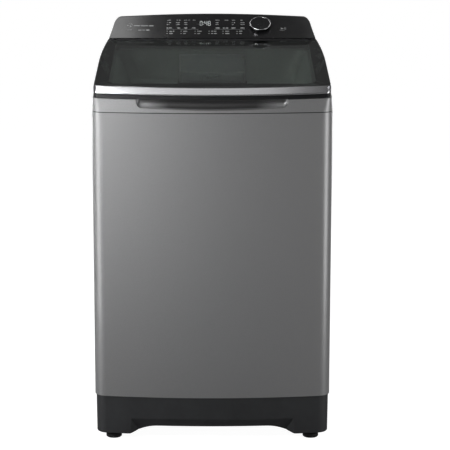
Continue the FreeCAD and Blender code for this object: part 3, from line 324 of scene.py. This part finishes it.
PAINT = ((0.30, 0.30, 0.303), (0.255, 0.255, 0.258), (0.36, 0.36, 0.363))
MATERIALS = {
    "body_paint": painted("body_paint", *PAINT).material,
    "cover_paint": well_lined_and_shaded(painted("cover_paint", *PAINT), (0.15, 0.16, 0.155)).material,
    "base_plastic": grained_plastic("base_plastic", (0.028, 0.029, 0.031), 0.5),
    "black_plastic": grained_plastic("black_plastic", (0.010, 0.010, 0.011), 0.42, 900.0, 0.00002,
                                     gloss=0.2),
    "fascia": gloss_black("fascia", (0.006, 0.006, 0.0065)),
    "tinted_glass": tinted_glass("tinted_glass"),
    "chrome": plated("chrome", (0.72, 0.72, 0.74), 0.24),
    "basket_steel": brushed("basket_steel", (0.62, 0.62, 0.61), 0.26, (1.0, 1.0, 0.05)),
    "zinc_steel": spangled_zinc("zinc_steel", (0.50, 0.51, 0.52)),
    "white_plastic": grained_plastic("white_plastic", (0.62, 0.63, 0.63), 0.42, 1600.0, 0.00002,
                                     0.04),
    "grey_plastic": grained_plastic("grey_plastic", (0.24, 0.245, 0.25), 0.4, 1600.0, 0.00002,
                                    0.06),
    "rubber": rubber("rubber", (0.018, 0.018, 0.018)),
    "cast_aluminium": grained_plastic("cast_aluminium", (0.45, 0.45, 0.45), 0.45, 500.0, 0.00008),
    "motor_paint": grained_plastic("motor_paint", (0.03, 0.03, 0.034), 0.35, 700.0, 0.00003),
    "circuit_board": grained_plastic("circuit_board", (0.02, 0.10, 0.045), 0.35, 300.0, 0.0001),
    "print_ink": grained_plastic("print_ink", (0.20, 0.205, 0.205), 0.5, 1600.0, 0.00001, 0.1),
    "digit_light": glow("digit_light", (0.62, 0.66, 0.66), 0.12),
}


def dress_frame():
    """Give every CAD node the detailed material of its slot."""
    for entry in frame["record"]["subparts"]:
        item = NODES[entry["node"]]
        material = MATERIALS[entry["material_slot"]]
        if not item.data.materials:
            item.data.materials.append(material)
        for index in range(len(item.material_slots)):
            item.material_slots[index].material = material


# ------------------------------------------------------------------ mesh helpers

def finished(name, work, body, slot, replaced=(), sharp=32.0):
    """Turn a bmesh into a piece: merged, smooth but for its sharp edges, hung on its body, with the parts it
    replaces hidden.
    """
    bmesh.ops.remove_doubles(work, verts=work.verts, dist=0.000002)
    bmesh.ops.recalc_face_normals(work, faces=work.faces)
    limit = math.radians(sharp)
    for face in work.faces:
        face.smooth = True
    for edge in work.edges:
        edge.smooth = len(edge.link_faces) == 2 and edge.calc_face_angle() < limit
    mesh = bpy.data.meshes.new(name)
    work.to_mesh(mesh)
    work.free()
    piece = bpy.data.objects.new(name, mesh)
    bpy.context.scene.collection.objects.link(piece)
    mesh.materials.append(MATERIALS[slot])
    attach(piece, body)
    if replaced:
        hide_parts(*replaced)
    return piece


def skin(work, rows, closed=True, ring=True):
    """Quads between rows of points; rings close on themselves, and so may the stack."""
    made = [[work.verts.new(point) for point in row] for row in rows]
    pairs = list(zip(made, made[1:]))
    if closed:
        pairs.append((made[-1], made[0]))
    for low, high in pairs:
        count = len(low)
        for index in range(count if ring else count - 1):
            after = (index + 1) % count
            work.faces.new((low[index], low[after], high[after], high[index]))
    return made


def turned_about(work, origin, turn, profile, steps=96):
    """Lathe a closed (radius, height) profile about the local Z of a frame."""
    rows = []
    for radius, height in profile:
        rows.append([origin + turn @ Vector((radius * math.cos(a), radius * math.sin(a), height))
                     for a in (2.0 * math.pi * n / steps for n in range(steps))])
    skin(work, rows)


def in_metres(points):
    return [(a * MM, b * MM) for a, b in points]


def rounded(centre, radius, start, end, steps=5):
    """Points of an arc in a profile, angles in degrees."""
    turns = [math.radians(start + (end - start) * n / steps) for n in range(steps + 1)]
    return [(centre[0] + radius * math.cos(a), centre[1] + radius * math.sin(a)) for a in turns]


# ------------------------------------------------------------------ console

CONSOLE_TURN = Matrix.Rotation(CONSOLE_SLOPE, 3, "X")


def console_point(across, up, off=0.0):
    """A place on the console's face: across from the machine's middle, up from the knob."""
    start = Vector((0.0, KNOB_AT.y, KNOB_AT.z))
    return start + CONSOLE_TURN @ Vector((across, up, off))


def patch(work, points, thick=0.12 * MM, low=0.02 * MM):
    """A printed mark: a very thin raised plate with the given outline on the console."""
    base = [work.verts.new(console_point(x, y, low)) for x, y in points]
    top = [work.verts.new(console_point(x, y, low + thick)) for x, y in points]
    work.faces.new(top)
    work.faces.new(base[::-1])
    count = len(points)
    for index in range(count):
        after = (index + 1) % count
        work.faces.new((base[index], base[after], top[after], top[index]))


def bar(work, x, y, length, high):
    """Bar with round ends, from x to x + length, centred on y, in millimetres."""
    radius = high / 2.0
    ends = ((x + length - radius, -90.0), (x + radius, 90.0))
    points = []
    for centre, start in ends:
        points += rounded((centre, y), radius, start, start + 180.0, 4)
    patch(work, in_metres(points))


def dot(work, x, y, radius):
    points = rounded((x, y), radius, 0.0, 337.5, 15)
    patch(work, in_metres(points))


def hoop(work, x, y, radius, line, start=0.0, end=360.0):
    """Open or whole ring made of short plates that share their corners."""
    steps = 20
    for n in range(steps):
        turns = [math.radians(start + (end - start) * (n + k) / steps) for k in (0, 1)]
        corners = [(radius, turns[0]), (radius, turns[1]),
                   (radius - line, turns[1]), (radius - line, turns[0])]
        patch(work, in_metres([(x + r * math.cos(a), y + r * math.sin(a)) for r, a in corners]))


# Rows of the printed programme table, in millimetres up from the knob's centre.
ROW_TOP, ROW_MIDDLE, ROW_NAMES, ROW_FIRST, ROW_SECOND = 24.0, 12.0, -8.7, -23.0, -32.9
CHOICES, CHOICE_PITCH, CHOICE_START = 6, 38.7, -125.0


def words(work, x, y, lengths, high):
    """A line of print: short bars with gaps, which stand for words without spelling any."""
    for length in lengths:
        bar(work, x, y, length, high)
        x += length + 1.6


def build_console_marks():
    work = bmesh.new()
    hoop(work, -228.5, 4.0, 7.5, 2.0, -30.0, 210.0)
    dot(work, -228.5, -2.0, 2.6)
    bar(work, -236.0, -18.0, 15.0, 2.2)
    words(work, -217.5, 1.2, (17.0, 21.0, 14.0), 4.4)
    words(work, -206.5, -18.0, (11.0, 8.5, 10.5), 4.0)
    for x, lengths in ((-126.0, (11.0,)), (-100.0, (5.0, 6.0)), (-78.5, (9.0, 6.0)),
                       (-55.0, (9.0,)), (8.0, (13.0,)), (34.0, (11.0,)), (54.5, (10.0,)),
                       (78.0, (8.0,))):
        words(work, x, ROW_TOP + 2.0, lengths, 2.4)
    for x, lengths in ((-126.5, (3.0, 8.0)), (-101.0, (11.5,)), (-78.5, (9.5,)), (9.0, (9.0,)),
                       (54.5, (3.0, 4.5)), (78.0, (12.5,))):
        words(work, x, ROW_MIDDLE + 3.0, lengths, 3.4)
        words(work, x, ROW_MIDDLE - 5.5, lengths[-1:], 2.2)
    for x, lengths in ((-128.0, (6.0, 9.0)), (-98.0, (9.5,)), (-79.0, (10.0,)),
                       (-57.0, (10.5,)), (9.0, (12.0,)), (29.0, (6.0, 8.0)), (52.5, (12.5,)),
                       (77.5, (12.5,))):
        words(work, x, ROW_NAMES, lengths, 4.6)
    bar(work, -128.0, -14.5, 90.0, 0.7)
    bar(work, 6.0, -14.5, 84.0, 0.7)
    first = ((8.0, 5.0), (12.0,), (13.5,), (6.0, 7.5), (12.0,), (9.5,))
    second = ((11.0,), (8.0,), (9.0,), (6.0, 9.0), (12.5,), (8.0,))
    for choice in range(CHOICES):
        x = CHOICE_START + choice * CHOICE_PITCH
        for y, lengths in ((ROW_FIRST, first[choice]), (ROW_SECOND, second[choice])):
            dot(work, x, y, 1.7)
            words(work, x + 5.5, y, lengths, 3.6)
    patch(work, in_metres([(190.0, -6.5), (197.5, -10.8), (190.0, -15.1)]))
    bar(work, 186.5, -18.2, 14.5, 1.8)
    for x in (200.0, 203.0):
        patch(work, in_metres([(x, -15.0), (x + 1.4, -15.0), (x + 1.4, -6.6), (x, -6.6)]))
    piece = finished("console_marks", work, "cabinet", "white_plastic", sharp=60.0)
    piece.data.materials[0] = MATERIALS["print_ink"]


# Seven segments as bars: (lower left x, y, upright) on a cell two squares high.
SEGMENTS = {"a": (0, 2, 0), "b": (1, 1, 1), "c": (1, 0, 1), "d": (0, 0, 0), "e": (0, 0, 1),
            "f": (0, 1, 1), "g": (0, 1, 0)}
SHAPES = {"0": "abcdef", "4": "bcfg", "8": "abcdefg"}
DIGIT_WIDE, DIGIT_HIGH, DIGIT_LINE = 5.8, 18.5, 1.5


def segment(work, x, y, upright):
    """One straight bar of a digit, with pointed ends."""
    half = DIGIT_LINE / 2.0
    length = (DIGIT_HIGH / 2.0 if upright else DIGIT_WIDE) - 0.5
    outline = [(0.25, 0.0), (half + 0.25, half), (length - half, half), (length, 0.0),
               (length - half, -half), (half + 0.25, -half)]
    if upright:
        outline = [(-b, a) for a, b in outline]
    patch(work, in_metres([(x + a, y + b) for a, b in outline]))


def build_display():
    """Lit digits of the time left, behind the console's black panel."""
    work = bmesh.new()
    left, low = -34.0, 2.6
    for place, figure in ((0.0, "0"), (13.2, "4"), (22.6, "8")):
        for key in SHAPES[figure]:
            x, y, upright = SEGMENTS[key]
            segment(work, left + place + x * DIGIT_WIDE, low + y * DIGIT_HIGH / 2.0, upright)
    for y in (low + 5.0, low + 13.0):
        dot(work, left + 9.4, y, 1.0)
    piece = finished("display_digits", work, "cabinet", "white_plastic", sharp=60.0)
    piece.data.materials[0] = MATERIALS["digit_light"]


def build_knob():
    """Undercut grip with a flat face, and the bright ring round its rim."""
    rim, core = 29.3, 0.1
    grip = [(core, 0.5), (rim - 5.4, 0.5), (rim - 4.9, 1.0), (rim - 3.6, 6.4), (rim - 3.0, 7.0),
            (rim - 1.0, 7.2), (rim - 0.8, 7.4), (rim - 0.8, 7.95), (rim - 2.4, 7.95)]
    grip += rounded((rim - 2.9, 10.1), 0.5, 0.0, 90.0)
    grip += [(rim - 9.0, 10.5), (rim - 16.0, 10.35), (core, 10.3)]
    inner, low, high = rim - 2.2, 8.0, 11.0
    ring = [(inner, low), (rim - 0.3, low), (rim, low + 0.3)]
    ring += rounded((rim - 1.1, high - 1.1), 1.1, 0.0, 90.0, 7)
    ring += rounded((inner + 0.4, high - 0.4), 0.4, 90.0, 180.0, 3)
    for name, profile, slot, replaced in (("knob_grip", grip, "fascia", "knob_body"),
                                          ("knob_bezel", ring, "chrome", "knob_ring")):
        work = bmesh.new()
        turned_about(work, KNOB_AT, CONSOLE_TURN, in_metres(profile))
        finished(name, work, "knob", slot, [replaced])


# ------------------------------------------------------------------ lid

def lid_point(x, v, w):
    """From the lid plane's own frame to the machine's."""
    return LID_ORIGIN + Matrix.Rotation(LID_SLOPE, 3, "X") @ Vector((x, v, w))


def bend(before, here, after, radius, steps):
    """Points of the arc that rounds a corner of a plan outline."""
    here = Vector(here)
    back = (Vector(before) - here).normalized()
    ahead = (Vector(after) - here).normalized()
    half = back.angle(ahead) / 2.0
    reach = radius / math.tan(half)
    centre = here + (back + ahead).normalized() * (radius / math.sin(half))
    start = here + back * reach - centre
    turn = math.pi - 2.0 * half
    side = 1.0 if back.x * ahead.y - back.y * ahead.x < 0.0 else -1.0
    return [centre + Matrix.Rotation(side * turn * n / steps, 2) @ start
            for n in range(steps + 1)]


def lid_front_path(inset, lean, wrap):
    """The lid's front edge, from one side round both corners to the other side."""
    half = LID_HALF - inset
    bow = BOW_RADIUS - inset
    slope = math.asin(BOW_HALF / BOW_RADIUS)
    apex = inset - lean - bow * (1.0 / math.cos(slope) - 1.0)
    shoulder = apex + half * math.tan(slope)
    corner = max(LID_CORNER - inset, 0.005)
    left = [(-half, wrap)]
    left += bend((-half, 1.0), (-half, shoulder), (0.0, apex), corner, 10)
    middle = bend((-half, shoulder), (0.0, apex), (half, shoulder), bow, 48)
    right = bend((0.0, apex), (half, shoulder), (half, 1.0), corner, 10)
    return left + middle + right + [(half, wrap)]


def build_lid_trim():
    """Bright strip on the lid's front: a leaning face with a full round along its lower edge."""
    drop, lean, wall, wrap, nose = 19.4 * MM, 13.0 * MM, 2.9 * MM, 17.8 * MM, 5.0 * MM
    profile = [(wall, -0.4 * MM), (1.0 * MM, -0.1 * MM), (0.35 * MM, -0.25 * MM),
               (0.05 * MM, -0.8 * MM), (0.0, -1.5 * MM), (0.0, -6.0 * MM), (0.0, -10.0 * MM)]
    for n in range(9):
        turn = math.radians(65.0 * n / 8)
        profile.append((nose - nose * math.cos(turn), nose - drop - nose * math.sin(turn)))
    profile.append((wall, nose - drop))
    work = bmesh.new()
    rows = [[lid_point(x, v, w) for x, v in lid_front_path(inset, lean * -w / drop, wrap)]
            for inset, w in profile]
    made = skin(work, rows, ring=False)
    work.faces.new([row[0] for row in made][::-1])
    work.faces.new([row[-1] for row in made])
    finished("lid_chrome_strip", work, "lid", "chrome", ["lid_front_trim"], sharp=40.0)


# ------------------------------------------------------------------ inside

def build_basket():
    """Stainless drum: staggered small holes between soft vertical ribs."""
    low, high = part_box("wash_basket")
    axis = Vector(((low[0] + high[0]) / 2.0, (low[1] + high[1]) / 2.0, 0.0))
    radius = (high[0] - low[0]) / 2.0
    columns, rows, hole = 60, 24, 2.4 * MM
    pitch = 2.0 * math.pi / columns
    step = (high[2] - low[2]) / rows
    work = bmesh.new()
    sites = ((-1, -1), (0, -1), (1, -1), (1, 0), (1, 1), (0, 1), (-1, 1), (-1, 0))

    def on_drum(turn, height):
        rib = 0.0015 * (0.5 + 0.5 * math.cos(turn * columns / 4.0)) ** 2
        fade = min(1.0, (height - low[2]) / 0.03, (high[2] - height) / 0.03)
        reach = radius - rib * fade
        return axis + Vector((reach * math.cos(turn), reach * math.sin(turn), height))

    for row in range(rows):
        middle = low[2] + (row + 0.5) * step
        for column in range(columns):
            turn = (column + (row % 2) / 2.0) * pitch
            edge = [work.verts.new(on_drum(turn + a * pitch / 2.0, middle + b * step / 2.0))
                    for a, b in sites]
            if 0 < row < rows - 1:
                rim = []
                for a, b in sites:
                    size = hole / math.hypot(a, b)
                    rim.append(work.verts.new(on_drum(turn + a * size / radius,
                                                      middle + b * size)))
                for index in range(len(sites)):
                    after = (index + 1) % len(sites)
                    work.faces.new((edge[index], edge[after], rim[after], rim[index]))
            else:
                work.faces.new(edge)
    piece = finished("steel_drum", work, "basket", "basket_steel", ["wash_basket"])
    thick = piece.modifiers.new("thickness", "SOLIDIFY")
    thick.thickness = 0.9 * MM
    thick.offset = -1.0


def build_drawer_badge():
    """Plain pill on the drawer's lip, where a label would be."""
    low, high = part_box("dispenser_drawer")
    work = bmesh.new()
    middle_z = low[2] + 15.0 * MM
    front = low[1]
    outline = rounded((13.0 * MM, 0.0), 4.0 * MM, -90.0, 90.0, 8)
    outline += rounded((-13.0 * MM, 0.0), 4.0 * MM, 90.0, 270.0, 8)
    rows = [[Vector((x * grow, front - off, middle_z + z * grow)) for x, z in outline]
            for grow, off in ((1.0, -0.3 * MM), (1.0, 0.15 * MM), (0.94, 0.35 * MM))]
    made = skin(work, rows, closed=False)
    work.faces.new(made[-1])
    work.faces.new(made[0][::-1])
    finished("drawer_badge", work, "drawer", "chrome")


def build_squashed(name, node):
    """A spring or bellows hung from the tub, on a mesh of its own in place of its part."""
    source = NODES[node]
    piece = bpy.data.objects.new(name, source.data.copy())
    bpy.context.scene.collection.objects.link(piece)
    piece.matrix_world = source.matrix_world.copy()
    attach(piece, "tub")
    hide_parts(node)
    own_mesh(piece)


# ------------------------------------------------------------------ stage

def build_floor():
    mesh = bpy.data.meshes.new("studio_floor")
    work = bmesh.new()
    bmesh.ops.create_grid(work, x_segments=8, y_segments=8, size=FLOOR_HALF)
    work.to_mesh(mesh)
    work.free()
    floor = bpy.data.objects.new("studio_floor", mesh)
    bpy.context.scene.collection.objects.link(floor)
    shader = Shader("studio_floor", (0.30, 0.30, 0.30), roughness=0.9, Specular_IOR_Level=0.0)
    shader.main.inputs["Emission Color"].default_value = (1.0, 1.0, 1.0, 1.0)
    path = shader.node("ShaderNodeLightPath")
    shader.link(shader.ramp(path.outputs["Is Camera Ray"], 0.0, 1.0, 0.02, 0.97),
                shader.main.inputs["Emission Strength"])
    mesh.materials.append(shader.material)


def area_light(name, at, target, width, height, power, spread=180.0):
    data = bpy.data.lights.new(name, "AREA")
    data.shape = "RECTANGLE"
    data.size = width
    data.size_y = height
    data.energy = power
    data.spread = math.radians(spread)
    lamp = bpy.data.objects.new(name, data)
    facing = (Vector(target) - Vector(at)).to_track_quat("-Z", "Y")
    lamp.matrix_world = Matrix.Translation(at) @ facing.to_matrix().to_4x4()
    bpy.context.scene.collection.objects.link(lamp)


def build_studio():
    build_floor()
    world = bpy.data.worlds.new("studio")
    bpy.context.scene.world = world
    world.use_nodes = True
    tree = world.node_tree
    back = tree.nodes["Background"]
    back.inputs["Color"].default_value = (1.0, 1.0, 1.0, 1.0)
    path = tree.nodes.new("ShaderNodeLightPath")
    strength = tree.nodes.new("ShaderNodeMapRange")
    strength.inputs["To Min"].default_value = 0.10
    strength.inputs["To Max"].default_value = 1.0
    tree.links.new(path.outputs["Is Camera Ray"], strength.inputs["Value"])
    tree.links.new(strength.outputs["Result"], back.inputs["Strength"])
    area_light("key_left", (-1.37, -1.53, 1.66), (-0.5, -0.3, 0.94), 0.8, 0.8, 5.0, 44.0)
    area_light("high_front", (-0.25, -2.3, 2.9), (0.0, -0.3, 0.9), 2.2, 1.2, 4.5)
    area_light("side_left", (-1.5, -0.79, 0.75), (-0.3, -0.3, 0.6), 0.7, 1.5, 10)
    area_light("side_right", (1.5, -0.79, 0.75), (0.3, -0.3, 0.6), 0.7, 1.5, 10)
    area_light("over_left", (-0.55, 0.55, 1.95), (-0.55, 0.55, 0.0), 0.6, 0.7, 3.6)
    area_light("over_right", (0.65, 0.55, 1.95), (0.65, 0.55, 0.0), 0.5, 0.7, 2.6)
    area_light("back_left", (-1.9, 2.6, 1.0), (0, 0, 0.6), 1.2, 1.5, 30)
    area_light("back_right", (1.9, 2.6, 1.0), (0, 0, 0.6), 1.2, 1.5, 22)


def build_camera():
    data = bpy.data.cameras.new("camera")
    data.lens = CAMERA_LENS
    data.sensor_width = 36.0
    data.shift_x = CAMERA_SHIFT_X
    data.clip_end = 200.0
    camera = bpy.data.objects.new("camera", data)
    camera.location = CAMERA_AT
    camera.rotation_euler = (math.radians(90.0 - CAMERA_PITCH), 0.0, 0.0)
    bpy.context.scene.collection.objects.link(camera)
    bpy.context.scene.camera = camera
    bpy.context.scene.view_settings.view_transform = "Standard"


dress_frame()
build_console_marks()
build_display()
build_knob()
build_lid_trim()
build_basket()
build_drawer_badge()
build_squashed("tub_springs", "suspension_springs")
build_squashed("sump_bellows", "sump_hose")
build_studio()
build_camera()
